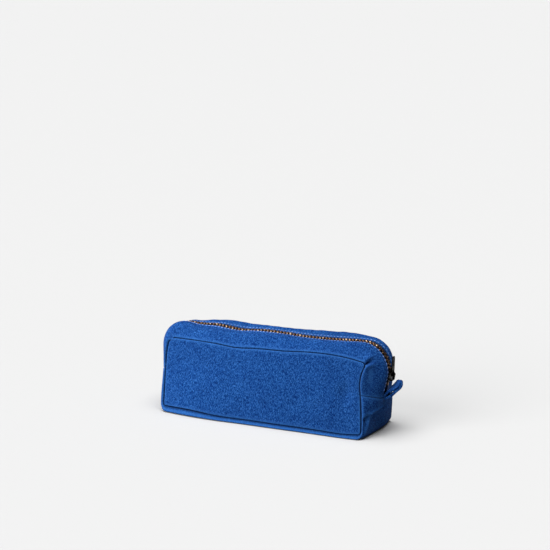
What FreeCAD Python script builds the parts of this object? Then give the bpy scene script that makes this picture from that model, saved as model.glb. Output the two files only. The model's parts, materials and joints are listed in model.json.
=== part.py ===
"""Soft boxy canvas pencil case with a metal zip over its top and both ends.

Millimetres. Origin: centre of the base, on the surface that the case stands on.
+X runs along the case towards the end where the zip closes, +Y to the back, +Z up.
"""
import FreeCAD
import Part
import math
import os

from FreeCAD import Vector

# ---------------------------------------------------------------- driving dimensions
PANEL_LENGTH = 200.0        # between the end seams of the front panel
PANEL_TOP = 68.0            # height of the panel's top seam
BASE_DEPTH = 65.0           # front to back at the base
TOP_DEPTH = 39.0            # front to back between the panels' top seams
PANEL_CORNER = 4.0
CANVAS = 1.4                # heavy cotton canvas with its turned edges
BASE_HALF_LENGTH = 101.5    # half length of the base along the middle
BASE_CHAMFER = 3.0
END_SEAM_Z = 34.0           # where the zip gussets meet the bottom gusset
FLAT_HALF_DEPTH = 11.5      # the strip beside the zip keeps one height up to here

# path of the zip, the middle of its tape: a flat top, two round corners, two short falls
CORNER_X = 88.3
CORNER_Z = 57.8
CORNER_R = 23.2
FALL_DEG = 10.5             # the falls lean back under the corners by this angle

CHAIN_ABOVE = 1.75          # canvas face above the tape's middle
TAPE = 0.6
TAPE_EDGE = 2.3             # inner edge of each tape, from the centre line
TAPE_OUTER = 10.8
SLOT_HALF = 5.5             # folded canvas edge, from the centre line

TOOTH_PITCH = 3.3
TOOTH_LONG = 1.3
TOOTH_HEAD = 1.0            # past the centre line
TOOTH_LEG = 3.3             # out over the tape
TOOTH_HIGH = 3.4
TAPE_SLIT = 0.66            # slit in a tooth or stop for the tape

STOP_LONG = 4.0
STOP_HIGH = 2.6
STOP_GAP = 0.5              # between the closed slider and the top stops
BOTTOM_STOP_FROM_SEAM = 8.5
TEETH_FROM_SEAM = 14.0      # first tooth, above the bottom stop

SLIDER_LONG = 12.0
SLIDER_HALF_WIDE = 5.1
SLIDER_TOP = 2.0            # underside of its top plate, above the tape's middle
SLIDER_LOW = -2.8           # upper side of its bottom plate
SLIDER_PLATE = 1.0
FLANGE = 0.9
UPPER_LIP = 0.6             # lowest point of the upper side walls
LOWER_LIP = -1.45           # highest point of the lower side walls
WEDGE_HALF = 1.5
WEDGE_LONG = 4.2
SLIDER_REST_DEG = -10.0     # angle of the closed slider on the corner's arc

PIVOT_ALONG = 1.5           # pull's cross bar, from the slider's middle
PIVOT_ABOVE = 4.6
CROSS_BAR_R = 0.7
CAP_HALF_WIDE = 1.1
CAP_HALF_LONG = 4.6
CAP_UNDER = 6.2
CAP_THICK = 0.9
LOCK_THICK = 0.4
PULL_WIDE = 5.0
PULL_THICK = 1.2
PULL_LONG = 17.0            # cross bar to tip
PULL_SLOT_HALF = 1.4
PULL_SLOT_LONG = 4.4
PULL_LEAN_DEG = 7.0         # the closed pull leans this far towards the chain

LOOP_WIDE = 12.0
LOOP_LONG = 21.5
LOOP_LAYER = 1.4
LOOP_LIFT_DEG = 47.0
LOOP_CLEAR = 0.4            # between the loop's root and the seam

BINDING_WIDE = 7.0
BINDING = 1.6
SEAM_TURN = 3.2             # canvas is this thick where it turns into a panel's seam
FAR = 400.0                 # larger than the case

# ---------------------------------------------------------------- derived values
PATH_TOP = CORNER_Z + CORNER_R
PANEL_LEAN = (BASE_DEPTH - TOP_DEPTH) / 2
PANEL_SLANT = math.hypot(PANEL_TOP, PANEL_LEAN)
LEAN_DEG = math.degrees(math.atan2(PANEL_LEAN, PANEL_TOP))
ARC_LONG = math.radians(90 + FALL_DEG) * CORNER_R
FALL_TOP_Z = CORNER_Z - CORNER_R * math.sin(math.radians(FALL_DEG))
FALL_LONG = (FALL_TOP_Z - END_SEAM_Z) / math.cos(math.radians(FALL_DEG))
HALF_PATH = CORNER_X + ARC_LONG + FALL_LONG
X_AXIS = Vector(1, 0, 0)
Y_AXIS = Vector(0, 1, 0)
ORIGIN = Vector(0, 0, 0)


# ---------------------------------------------------------------- helpers
def box(x, y, z):
    """A block from three (low, high) pairs."""
    shape = Part.makeBox(x[1] - x[0], y[1] - y[0], z[1] - z[0])
    shape.translate(Vector(x[0], y[0], z[0]))
    return shape


def polar(radius, degrees):
    """A point of the right corner's circle, as (x, z)."""
    angle = math.radians(degrees)
    return CORNER_X + radius * math.cos(angle), CORNER_Z + radius * math.sin(angle)


def path_frame(along):
    """Point of the zip's path and its turn from level, for a distance from the middle."""
    side = 1 if along >= 0 else -1
    s = abs(along)
    if s <= CORNER_X:
        return Vector(along, 0, PATH_TOP), 0.0
    if s <= CORNER_X + ARC_LONG:
        turn = math.degrees((s - CORNER_X) / CORNER_R)
        x, z = polar(CORNER_R, 90 - turn)
        return Vector(side * x, 0, z), side * turn
    turn = 90 + FALL_DEG
    x, z = polar(CORNER_R, -FALL_DEG)
    down = s - CORNER_X - ARC_LONG
    x -= down * math.sin(math.radians(FALL_DEG))
    z -= down * math.cos(math.radians(FALL_DEG))
    return Vector(side * x, 0, z), side * turn


def on_path(shape, along):
    """Puts a piece drawn at the top of the path (X along, Z outward) at its place."""
    point, turn = path_frame(along)
    placed = shape.copy()
    placed.rotate(ORIGIN, Y_AXIS, turn)
    placed.translate(point)
    return placed


def mirrored(shape):
    """The same piece on the back half."""
    return shape.mirror(ORIGIN, Y_AXIS)


def outline(points):
    """A closed wire in the XZ plane from its right half, and that half mirrored.

    Each entry is a point (x, z), or a pair of points for an arc through the first.
    """
    edges = []
    start = points[0]
    for item in points[1:]:
        if isinstance(item[0], tuple):
            through, end = item
            edges.append(("arc", start, through, end))
        else:
            end = item
            edges.append(("line", start, None, end))
        start = end
    made = []
    for side in (1, -1):
        for kind, a, m, b in edges:
            p, q = Vector(side * a[0], 0, a[1]), Vector(side * b[0], 0, b[1])
            if kind == "line":
                made.append(Part.makeLine(p, q))
            else:
                middle = Vector(side * m[0], 0, m[1])
                made.append(Part.Arc(p, middle, q).toShape())
    top = points[0]
    made.append(Part.makeLine(Vector(-top[0], 0, top[1]), Vector(top[0], 0, top[1])))
    low = points[-1]
    made.append(Part.makeLine(Vector(-low[0], 0, low[1]), Vector(low[0], 0, low[1])))
    return Part.Wire(Part.__sortEdges__(made))


def centre_outline(offset, base_z):
    """The case's section along its middle, at a distance from the zip's path."""
    radius = CORNER_R + offset
    arc_end = polar(radius, -FALL_DEG)
    seam_x = arc_end[0] - (arc_end[1] - END_SEAM_Z) * math.tan(math.radians(FALL_DEG))
    base_x = BASE_HALF_LENGTH - base_z
    return outline([
        (CORNER_X, PATH_TOP + offset),
        (polar(radius, 45 - FALL_DEG / 2), arc_end),
        (seam_x, END_SEAM_Z),
        (base_x, base_z + BASE_CHAMFER),
        (base_x - BASE_CHAMFER, base_z),
    ])


def panel_outline(inset):
    """The front panel's outline, upright, with its base on the XY plane."""
    right = PANEL_LENGTH / 2 - inset
    top = PANEL_SLANT - inset
    corner = PANEL_CORNER
    half = corner * (1 - math.sqrt(0.5))
    return outline([
        (right - corner, top),
        ((right - half, top - half), (right, top - corner)),
        (right, END_SEAM_Z),
        (right, inset + BASE_CHAMFER),
        (right - BASE_CHAMFER, inset),
    ])


def lean_back(shape, inward=0.0):
    """Leans an upright panel piece back to the front panel's plane."""
    placed = shape.copy()
    placed.translate(Vector(0, inward, 0))
    placed.rotate(ORIGIN, X_AXIS, -LEAN_DEG)
    placed.translate(Vector(0, -BASE_DEPTH / 2, 0))
    return placed


def side_loft(inset, inward, offset, base_z):
    """The solid between the front panel's plane and the strip beside the zip."""
    panel = lean_back(panel_outline(inset), inward)
    centre = centre_outline(offset, base_z)
    centre.translate(Vector(0, -FLAT_HALF_DEPTH, 0))
    return Part.makeLoft([panel, centre], True, True)


def middle_block(offset, base_z):
    """The solid of constant section between the two strips beside the zip."""
    wire = centre_outline(offset, base_z)
    wire.translate(Vector(0, -FLAT_HALF_DEPTH, 0))
    return Part.Face(wire).extrude(Vector(0, 2 * FLAT_HALF_DEPTH, 0))


# ---------------------------------------------------------------- canvas
def panel_slab():
    """Everything within one canvas thickness of the front panel's face."""
    slab = box((-FAR, FAR), (-FAR, CANVAS), (-FAR, FAR))
    return lean_back(slab)


def front_panel():
    return side_loft(0, 0, CHAIN_ABOVE, 0).common(panel_slab())


def side_strip():
    """Canvas from the front panel's edge to the strip beside the zip, all the way round."""
    hollow_offset = CHAIN_ABOVE - CANVAS
    outer = side_loft(0, 0, CHAIN_ABOVE, 0)
    inner = side_loft(SEAM_TURN, CANVAS, hollow_offset, CANVAS)
    return outer.cut(inner).cut(panel_slab())


def middle_strip():
    hollow_offset = CHAIN_ABOVE - CANVAS
    return middle_block(CHAIN_ABOVE, 0).cut(middle_block(hollow_offset, CANVAS))


def above_end_seams():
    return box((-FAR, FAR), (-FAR, FAR), (END_SEAM_Z, FAR))


def zip_gusset_front():
    beside = box((-FAR, FAR), (-FAR, -SLOT_HALF), (END_SEAM_Z, FAR))
    strip = side_strip().common(above_end_seams())
    return strip.fuse(middle_strip().common(beside)).removeSplitter()


def bottom_gusset():
    front = side_strip().cut(above_end_seams())
    middle = middle_strip().cut(above_end_seams())
    return middle.fuse([front, mirrored(front)]).removeSplitter()


def seam_binding():
    """Bound seam allowance lying on the inside of the front panel, round its edge."""
    outer = Part.Face(panel_outline(SEAM_TURN + 0.3))
    inner = Part.Face(panel_outline(SEAM_TURN + 0.3 + BINDING_WIDE))
    ring = outer.cut(inner).extrude(Vector(0, BINDING, 0))
    return lean_back(ring, CANVAS)


def end_binding():
    """Bound seam allowance inside the end seam at the right, under the tape's end."""
    depth = FLAT_HALF_DEPTH - 0.5
    above = -TAPE / 2 - 0.1
    strip = box((0, BINDING_WIDE), (-depth, depth), (above - BINDING, above))
    return on_path(strip, HALF_PATH - BINDING_WIDE - 0.3)


# ---------------------------------------------------------------- zip
def band(half_thick, near, far):
    """A band that follows the whole path, between two distances from the centre line."""
    outer = centre_outline(half_thick, CANVAS)
    inner = centre_outline(-half_thick, CANVAS + 2 * half_thick)
    section = Part.Face(outer).cut(Part.Face(inner))
    section.translate(Vector(0, -far, 0))
    whole = section.extrude(Vector(0, far - near, 0))
    return whole.common(above_end_seams())


def zip_tape_front():
    return band(TAPE / 2, TAPE_EDGE, TAPE_OUTER)


def tooth():
    """One tooth of the front row: a head over the centre line and legs round the tape."""
    half = TOOTH_LONG / 2
    high = TOOTH_HIGH / 2
    body = box((-half, half), (-TOOTH_LEG, TOOTH_HEAD), (-high, high))
    slit = box((-half, half), (-TOOTH_LEG, -TAPE_EDGE + 0.03), (-TAPE_SLIT / 2, TAPE_SLIT / 2))
    body = body.makeChamfer(0.35, [e for e in body.Edges if runs_along(e, X_AXIS)])
    return body.cut(slit)


def runs_along(edge, axis):
    a, b = edge.Vertexes[0].Point, edge.Vertexes[-1].Point
    return (b - a).cross(axis).Length < 1e-6


def tooth_places():
    """Distances along the path, from the bottom stop to the closed slider's middle."""
    first = -(HALF_PATH - TEETH_FROM_SEAM)
    last = CORNER_X + ARC_LONG - 1.0
    count = int((last - first) / TOOTH_PITCH)
    return [last - TOOTH_PITCH * n for n in range(count + 1)]


def zip_teeth_front():
    one = tooth()
    return Part.makeCompound([on_path(one, s) for s in tooth_places()])


def zip_teeth_back():
    one = mirrored(tooth())
    places = [s - TOOTH_PITCH / 2 for s in tooth_places()]
    return Part.makeCompound([on_path(one, s) for s in places])


def top_stop_front():
    """Metal clip on the end of the front tape, just past the closed slider."""
    start = CORNER_X + ARC_LONG + SLIDER_LONG / 2 + STOP_GAP
    high = STOP_HIGH / 2
    clip = box((0, STOP_LONG), (-TOOTH_LEG - 0.5, -TAPE_EDGE + 0.7), (-high, high))
    clip = clip.makeChamfer(0.4, [e for e in clip.Edges if runs_along(e, X_AXIS)])
    slit = box((0, STOP_LONG), (-FAR, -TAPE_EDGE + 0.03), (-TAPE_SLIT / 2, TAPE_SLIT / 2))
    return on_path(clip.cut(slit), start)


def bottom_stop():
    """Metal clip across both tapes at the end where the zip opens."""
    high = STOP_HIGH / 2
    across = TOOTH_LEG + 0.2
    clip = box((0, STOP_LONG), (-across, across), (-high, high))
    clip = clip.makeChamfer(0.4, [e for e in clip.Edges if runs_along(e, X_AXIS)])
    for side in (-1, 1):
        near, far = sorted((side * (TAPE_EDGE - 0.03), side * FAR))
        clip = clip.cut(box((0, STOP_LONG), (near, far), (-TAPE_SLIT / 2, TAPE_SLIT / 2)))
    return on_path(clip, -(HALF_PATH - BOTTOM_STOP_FROM_SEAM))


# ---------------------------------------------------------------- slider, drawn at the path's top
def to_slider_place(shape):
    """Turns a slider piece, drawn with X towards the open end, to the closed place.

    On the path the slider's mouth faces the end seam, so +X here points at it.
    """
    placed = shape.copy()
    turn = 90 - SLIDER_REST_DEG
    x, z = polar(CORNER_R, SLIDER_REST_DEG)
    placed.rotate(ORIGIN, Y_AXIS, turn)
    placed.translate(Vector(x, 0, z))
    return placed


def slider_plate(low):
    """A plate with a wide mouth and a narrower tail."""
    half = SLIDER_LONG / 2
    wide = SLIDER_HALF_WIDE
    tail = wide - 0.7
    corners = [(-half, tail), (half * 0.2, wide), (half * 0.8, wide), (half, wide * 0.72)]
    points = [Vector(x, y, low) for x, y in corners]
    points += [Vector(x, -y, low) for x, y in reversed(corners)]
    wire = Part.makePolygon(points + [points[0]])
    return Part.Face(wire).extrude(Vector(0, 0, SLIDER_PLATE))


def slider_body():
    top = slider_plate(SLIDER_TOP)
    bottom = slider_plate(SLIDER_LOW - SLIDER_PLATE)
    half = SLIDER_LONG / 2
    tail = SLIDER_HALF_WIDE - 0.7
    long = (-half, half * 0.8)
    pieces = [bottom]
    for side in (-1, 1):
        y = sorted((side * (tail - FLANGE), side * tail))
        pieces.append(box(long, y, (UPPER_LIP, SLIDER_TOP)))
        pieces.append(box(long, y, (SLIDER_LOW, LOWER_LIP)))
    wedge_x = (half - WEDGE_LONG - 0.4, half - 0.4)
    pieces.append(box(wedge_x, (-WEDGE_HALF, WEDGE_HALF), (SLIDER_LOW, SLIDER_TOP)))
    body = top.fuse(pieces).removeSplitter()
    lock_hole = box((2.2, 3.4), (-0.7, 0.7), (SLIDER_TOP - 1.2, SLIDER_TOP + FAR))
    return body.cut(lock_hole)


def slider_cap():
    """Arch riveted on the top plate, that holds the pull's cross bar."""
    foot = SLIDER_TOP + SLIDER_PLATE
    crown = CAP_UNDER + CAP_THICK
    half = CAP_HALF_LONG
    outer = Part.makePolygon([
        Vector(-half, 0, foot), Vector(-half, 0, crown - 1.8), Vector(-half + 1.8, 0, crown),
        Vector(half - 1.8, 0, crown), Vector(half, 0, crown - 1.8), Vector(half, 0, foot),
        Vector(-half, 0, foot)])
    inside = half - CAP_THICK
    inner = Part.makePolygon([
        Vector(-inside, 0, foot), Vector(-inside, 0, CAP_UNDER - 0.5),
        Vector(-inside + 0.5, 0, CAP_UNDER), Vector(inside - 0.5, 0, CAP_UNDER),
        Vector(inside, 0, CAP_UNDER - 0.5), Vector(inside, 0, foot), Vector(-inside, 0, foot)])
    section = Part.Face(outer).cut(Part.Face(inner))
    section.translate(Vector(0, -CAP_HALF_WIDE, 0))
    return section.extrude(Vector(0, 2 * CAP_HALF_WIDE, 0))


def slider_lock():
    """Flat spring under the cap whose tip drops through the top plate into the chain."""
    wide = (-0.5, 0.5)
    foot = SLIDER_TOP + SLIDER_PLATE
    top = PIVOT_ABOVE + CROSS_BAR_R + 0.3
    rear = (-3.2, -3.2 + LOCK_THICK)
    front = (2.6, 2.6 + LOCK_THICK)
    bridge = box((rear[0], front[1]), wide, (top, top + LOCK_THICK))
    heel = box(rear, wide, (foot, top))
    tip = box(front, wide, (SLIDER_TOP + 0.3, top))
    return bridge.fuse([heel, tip]).removeSplitter()


def slider_pull():
    """Flat tapered pull with a slot round the cap, a cross bar and an eye at its tip."""
    half = PULL_WIDE / 2
    long = PULL_LONG
    sides = [(1.2, half), (-6.5, half), (-long + 1.6, half - 0.5), (-long, half - 1.4)]
    points = [Vector(x, y, 0) for x, y in sides]
    points += [Vector(x, -y, 0) for x, y in reversed(sides)]
    plate = Part.Face(Part.makePolygon(points + [points[0]]))
    plate = plate.extrude(Vector(0, 0, PULL_THICK))
    plate.translate(Vector(0, 0, -PULL_THICK / 2))
    slot_half = PULL_SLOT_HALF
    slot = box((-PULL_SLOT_LONG, FAR), (-slot_half, slot_half), (-FAR, FAR))
    bar = Part.makeCylinder(CROSS_BAR_R, PULL_WIDE - 1.0, Vector(0, 0.5 - half, 0), Y_AXIS)
    eye = box((-long + 3.6, -long + 8.4), (-0.9, 0.9), (-FAR, FAR))
    for x in (-long + 3.6, -long + 8.4):
        eye = eye.fuse(Part.makeCylinder(0.9, 2 * FAR, Vector(x, 0, -FAR)))
    pull = plate.cut(slot).fuse(bar).cut(eye).removeSplitter()
    pull.rotate(ORIGIN, Y_AXIS, -PULL_LEAN_DEG)
    pull.translate(Vector(-PIVOT_ALONG, 0, PIVOT_ABOVE))
    return pull


# ---------------------------------------------------------------- end loop
def closed_curve(points):
    curve = Part.BSplineCurve()
    curve.interpolate([Vector(x, 0, z) for x, z in points], PeriodicFlag=True)
    return Part.Face(Part.Wire(curve.toShape()))


def loop_pivot():
    """Where the loop's root bends, just outside the right end seam."""
    arc_end = polar(CORNER_R + CHAIN_ABOVE, -FALL_DEG)
    fall = (arc_end[1] - END_SEAM_Z) * math.tan(math.radians(FALL_DEG))
    return Vector(arc_end[0] - fall + LOOP_CLEAR + LOOP_LAYER, 0, END_SEAM_Z)


def end_loop():
    """Folded canvas band: a drop-shaped loop that is pressed flat towards its tip."""
    root = LOOP_LAYER * 0.85
    swell = 2.9
    side = [(0.4, root), (7.0, swell), (14.0, 2.2), (19.5, 1.8)]
    points = [(-root, 0)] + side + [(LOOP_LONG, 0)]
    points += [(x, -z) for x, z in reversed(side)]
    gap = [(2.2, 0), (7.0, swell - LOOP_LAYER), (13.5, 0.2)]
    gap_points = gap + [(14.4, 0)] + [(x, -z) for x, z in reversed(gap[1:])]
    section = closed_curve(points).cut(closed_curve(gap_points))
    section.translate(Vector(0, -LOOP_WIDE / 2, 0))
    band_solid = section.extrude(Vector(0, LOOP_WIDE, 0))
    band_solid.rotate(ORIGIN, Y_AXIS, -LOOP_LIFT_DEG)
    band_solid.translate(loop_pivot())
    return band_solid


# ---------------------------------------------------------------- all the pieces
def all_parts():
    panel = front_panel()
    gusset = zip_gusset_front()
    tape = zip_tape_front()
    stop = top_stop_front()
    binding = seam_binding()
    end = end_binding()
    return {
        "front_panel": panel,
        "back_panel": mirrored(panel),
        "bottom_gusset": bottom_gusset(),
        "zip_gusset_front": gusset,
        "zip_gusset_back": mirrored(gusset),
        "zip_tape_front": tape,
        "zip_tape_back": mirrored(tape),
        "zip_teeth_front": zip_teeth_front(),
        "zip_teeth_back": zip_teeth_back(),
        "top_stop_front": stop,
        "top_stop_back": mirrored(stop),
        "bottom_stop": bottom_stop(),
        "front_seam_binding": binding,
        "back_seam_binding": mirrored(binding),
        "right_end_binding": end,
        "left_end_binding": end.mirror(ORIGIN, X_AXIS),
        "slider_body": to_slider_place(slider_body()),
        "slider_cap": to_slider_place(slider_cap()),
        "slider_lock": to_slider_place(slider_lock()),
        "slider_pull": to_slider_place(slider_pull()),
        "end_loop": end_loop(),
    }


def main():
    os.makedirs("parts", exist_ok=True)
    for name, shape in all_parts().items():
        shape.exportStep(os.path.join("parts", name + ".step"))
        size = shape.BoundBox
        print(name, shape.isValid(), len(shape.Solids), round(shape.Volume, 1),
              [round(v, 2) for v in (size.XMin, size.XMax, size.YMin, size.YMax,
                                     size.ZMin, size.ZMax)])
    pivot = to_slider_place(Part.Vertex(-PIVOT_ALONG, 0, PIVOT_ABOVE)).Point
    print("pull pivot", [round(v, 3) for v in pivot])
    print("loop pivot", [round(v, 3) for v in loop_pivot()])
    print("zip path", round(2 * HALF_PATH, 1))


main()
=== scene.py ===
"""Looks of a soft boxy canvas pencil case with a metal zip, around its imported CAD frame."""
import json
import math

import bmesh
import bpy
import numpy as np
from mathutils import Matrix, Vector


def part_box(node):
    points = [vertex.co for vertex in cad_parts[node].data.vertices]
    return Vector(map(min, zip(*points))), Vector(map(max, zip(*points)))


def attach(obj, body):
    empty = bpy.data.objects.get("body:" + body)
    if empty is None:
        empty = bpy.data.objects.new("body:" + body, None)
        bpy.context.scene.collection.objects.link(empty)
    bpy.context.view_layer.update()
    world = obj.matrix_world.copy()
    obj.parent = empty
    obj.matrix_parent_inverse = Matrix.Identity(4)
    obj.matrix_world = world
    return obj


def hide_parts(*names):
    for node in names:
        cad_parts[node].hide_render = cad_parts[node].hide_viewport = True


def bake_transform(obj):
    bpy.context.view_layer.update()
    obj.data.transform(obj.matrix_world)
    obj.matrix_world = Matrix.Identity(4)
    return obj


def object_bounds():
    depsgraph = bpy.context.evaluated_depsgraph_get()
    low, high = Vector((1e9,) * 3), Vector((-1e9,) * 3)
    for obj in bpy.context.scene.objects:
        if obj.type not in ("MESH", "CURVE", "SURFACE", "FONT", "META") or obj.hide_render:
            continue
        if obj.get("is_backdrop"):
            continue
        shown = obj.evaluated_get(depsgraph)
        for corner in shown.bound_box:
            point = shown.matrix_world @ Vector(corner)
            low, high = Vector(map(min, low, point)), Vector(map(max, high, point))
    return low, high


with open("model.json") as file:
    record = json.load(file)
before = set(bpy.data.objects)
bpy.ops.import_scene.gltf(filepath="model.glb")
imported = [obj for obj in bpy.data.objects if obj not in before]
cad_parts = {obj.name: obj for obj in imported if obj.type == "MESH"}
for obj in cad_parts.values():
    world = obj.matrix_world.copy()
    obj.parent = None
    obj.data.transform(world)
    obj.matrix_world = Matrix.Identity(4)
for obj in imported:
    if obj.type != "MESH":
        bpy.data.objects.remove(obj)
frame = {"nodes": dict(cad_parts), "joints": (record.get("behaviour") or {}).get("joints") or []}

CAD_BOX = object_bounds()
MM = 0.001
JOINTS = {joint["name"]: joint for joint in frame["joints"]}

# ------------------------------------------------------------ measures from the frame, in mm
TAPE_THICK = 0.6
CORNER = Vector(JOINTS["zip_travel"]["pos_m"]) / MM
PATH_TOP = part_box("zip_tape_front")[1].z / MM - TAPE_THICK / 2
CORNER_R = PATH_TOP - CORNER.z
FALL = math.radians(10.5)
SEAM_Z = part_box("zip_tape_front")[0].z / MM
ARC_LONG = (math.pi / 2 + FALL) * CORNER_R
FALL_LONG = (CORNER.z - CORNER_R * math.sin(FALL) - SEAM_Z) / math.cos(FALL)
HALF_PATH = CORNER.x + ARC_LONG + FALL_LONG
TOOTH_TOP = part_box("zip_teeth_front")[1].z / MM - PATH_TOP
TOOTH_PITCH = 3.3
BASE_HALF_DEPTH = -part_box("front_panel")[0].y / MM
PANEL_HEIGHT = 68.0
PANEL_LEAN = 13.0
HALF_LENGTH = 100.0
LOOP_PIVOT = Vector(JOINTS["loop_bend"]["pos_m"]) / MM

# ------------------------------------------------------------ cloth measures, in mm
CANVAS = 0.8
LIP = 1.25                  # canvas starts to turn into a seam this far from it
LIP_DEEP = 2.0
SEAM_GAP = 0.12             # how far each lip stays back from the seam, of the lip's width
ALLOWANCE = 1.6
CELL = 1.1                  # mesh spacing


# ------------------------------------------------------------ curves
def smooth(knots, x):
    """A smooth curve through a few (place, value) pairs."""
    kx = np.array([k[0] for k in knots], float)
    ky = np.array([k[1] for k in knots], float)
    slope = np.gradient(ky, kx)
    x = np.clip(np.asarray(x, float), kx[0], kx[-1])
    i = np.clip(np.searchsorted(kx, x) - 1, 0, len(kx) - 2)
    wide = kx[i + 1] - kx[i]
    t = (x - kx[i]) / wide
    h00 = 2 * t**3 - 3 * t**2 + 1
    h10 = t**3 - 2 * t**2 + t
    h01 = 3 * t**2 - 2 * t**3
    h11 = t**3 - t**2
    return h00 * ky[i] + h10 * wide * slope[i] + h01 * ky[i + 1] + h11 * wide * slope[i + 1]


def bump(x, centre, wide):
    return np.exp(-((np.asarray(x, float) - centre) / wide) ** 2)


def waves(a, b, seed, scale, count=7):
    """Smooth unevenness, from -1 to 1 or so, over two directions in mm."""
    rng = np.random.default_rng(seed)
    total = np.zeros(np.broadcast(a, b).shape)
    for _ in range(count):
        angle = rng.uniform(0, 2 * math.pi)
        length = scale * rng.uniform(0.7, 1.8)
        phase = rng.uniform(0, 2 * math.pi)
        along = (a * math.cos(angle) + b * math.sin(angle)) * 2 * math.pi / length
        total = total + np.sin(along + phase)
    return total / math.sqrt(count)


def path(s):
    """The zip's path: x, z and the outward direction (ox, oz), for distances from its middle."""
    s = np.asarray(s, float)
    side = np.where(s < 0, -1.0, 1.0)
    d = np.abs(s)
    turn = np.clip((d - CORNER.x) / CORNER_R, 0, math.pi / 2 + FALL)
    flat = np.minimum(d, CORNER.x)
    down = np.maximum(d - CORNER.x - ARC_LONG, 0)
    x = flat + CORNER_R * np.sin(turn) - down * math.sin(FALL)
    z = CORNER.z + CORNER_R * np.cos(turn) - down * math.cos(FALL)
    return side * x, z, side * np.sin(turn), np.cos(turn)


# the zip dips a little between its ends, and sags over the left corner
SAG = [(-149, 0), (-128, -0.4), (-108, -2.6), (-88, -2.7), (-76, -2.9), (-61, -1.9), (-36, -3.7),
       (-10, -1.7), (5, -1.7), (29, -2.4), (58, -1.4), (80, 0), (149, 0)]
# canvas edge against the tops of the teeth, front and back
EDGE_RISE = {
    -1: [(-149, -0.8), (-98, 0.8), (-86, 0.3), (-76, -0.6), (-63, -0.9), (-48, -1.3), (-33, -1.1),
         (-22, -0.5), (-7, -0.9), (27, -1.0), (72, -0.9), (90, -0.2), (104, 0.5), (149, 0.4)],
    1: [(-149, -1.4), (-100, -1.6), (-70, -2.3), (0, -2.4), (80, -2.4), (110, -1.6), (149, -1.4)],
}
# the fullest line of each strip, above the zip's path
CREST = {
    -1: [(-149, 0.3), (-118, 1.8), (-100, 1.2), (-76, -2.4), (-33, -3.6), (0, -2.0), (50, -1.2),
         (84, 0.4), (104, 1.6), (120, 1.6), (149, 1.2)],
    1: [(-149, 0.6), (-112, -1.6), (-96, -3.0), (-84, -2.4), (-70, -0.2), (-57, 1.4), (-32, 0.9),
        (-7, 0.7), (22, 2.0), (50, 4.0), (72, 4.2), (88, 3.4), (101, 3.4), (112, 2.0), (121, 0.0),
        (132, -1.6), (149, -0.6)],
}
CREST_AT = 0.72             # where that line runs, from the panel's seam (0) to the zip (1)
SLOT = {
    -1: [(-149, 4.4), (60, 4.3), (78, 5.4), (149, 5.4)],
    1: [(-149, 5.4), (-60, 6.2), (60, 6.2), (78, 6.1), (149, 5.8)],
}


def zip_line(s, across, above):
    """Points beside the zip, as an array (n, 3)."""
    x, z, ox, oz = path(s)
    out = above + smooth(SAG, s)
    return np.stack([x + ox * out, across + 0 * x, z + oz * out], -1)


# ------------------------------------------------------------ the panels' outline
TOP_SEAM = [(-100, 68.0), (-76, 68.2), (-51, 67.6), (-33, 66.4), (-10, 68.0), (20, 69.2),
            (42, 71.0), (73, 71.0), (86, 69.8), (100, 67.3)]
BOTTOM_SEAM = [(-100, 5.4), (-70, 5.8), (-45, 4.2), (0, 3.7), (60, 3.3), (82, 3.0), (100, 4.3)]
BASE_SWELL = [(-100, 2.5), (-75, 6.5), (-50, 7.0), (-20, 5.0), (20, 3.6), (50, 2.4), (80, 1.6),
              (100, 0.4)]
CORNER_ROUND = {(1, 1): 4.0, (1, 0): 3.0, (0, 1): 5.0, (0, 0): 3.5}


SIDE_SEAM = {
    (-1, False): [(0, -100.8), (20, -102.0), (38, -102.9), (55, -102.9), (63, -101.8), (68, -99.6)],
    (-1, True): [(0, 100.3), (15, 99.2), (34, 96.9), (47, 94.9), (56, 95.6), (63, 97.6), (68, 99.3)],
    (1, False): [(0, -100.2), (35, -102.4), (55, -102.6), (68, -100.2)],
    (1, True): [(0, 100.2), (35, 101.6), (55, 101.8), (68, 100.2)],
}


def side_x(z, right, side):
    return smooth(SIDE_SEAM[side, right], z)


def round_corner(x, z, cx, cz, to_x, to_z, radius):
    """Maps the square at a corner onto a quarter disc, and leaves the rest."""
    a = (x - (cx - to_x * radius)) * to_x / radius
    b = (z - (cz - to_z * radius)) * to_z / radius
    inside = (a > 0) & (b > 0)
    a1, b1 = np.clip(a, 0, 1), np.clip(b, 0, 1)
    a2 = a1 * np.sqrt(1 - b1 * b1 / 2)
    b2 = b1 * np.sqrt(1 - a1 * a1 / 2)
    nx = cx - to_x * radius + to_x * radius * a2
    nz = cz - to_z * radius + to_z * radius * b2
    return np.where(inside, nx, x), np.where(inside, nz, z)


def panel_point(a, b, side):
    """A point of a panel for a, b from 0 to 1, without its crown. side is -1 in front."""
    a, b = np.broadcast_arrays(np.asarray(a, float), np.asarray(b, float))
    guess = PANEL_HEIGHT * b
    left, right = side_x(guess, False, side), side_x(guess, True, side)
    x = left + (right - left) * a
    low, high = smooth(BOTTOM_SEAM, x), smooth(TOP_SEAM, x)
    z = low + (high - low) * b
    for (i, j), radius in CORNER_ROUND.items():
        end = np.where(i, side_x(z, True, side), side_x(z, False, side))
        edge = high if j else low
        x, z = round_corner(x, z, end, edge, 2 * i - 1, 2 * j - 1, radius)
    swell = smooth(BASE_SWELL, x) * np.clip(1 - z / 46, 0, 1) ** 1.3
    y = -BASE_HALF_DEPTH + PANEL_LEAN * z / PANEL_HEIGHT - swell
    return np.stack([x, -side * y, z], -1)


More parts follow.
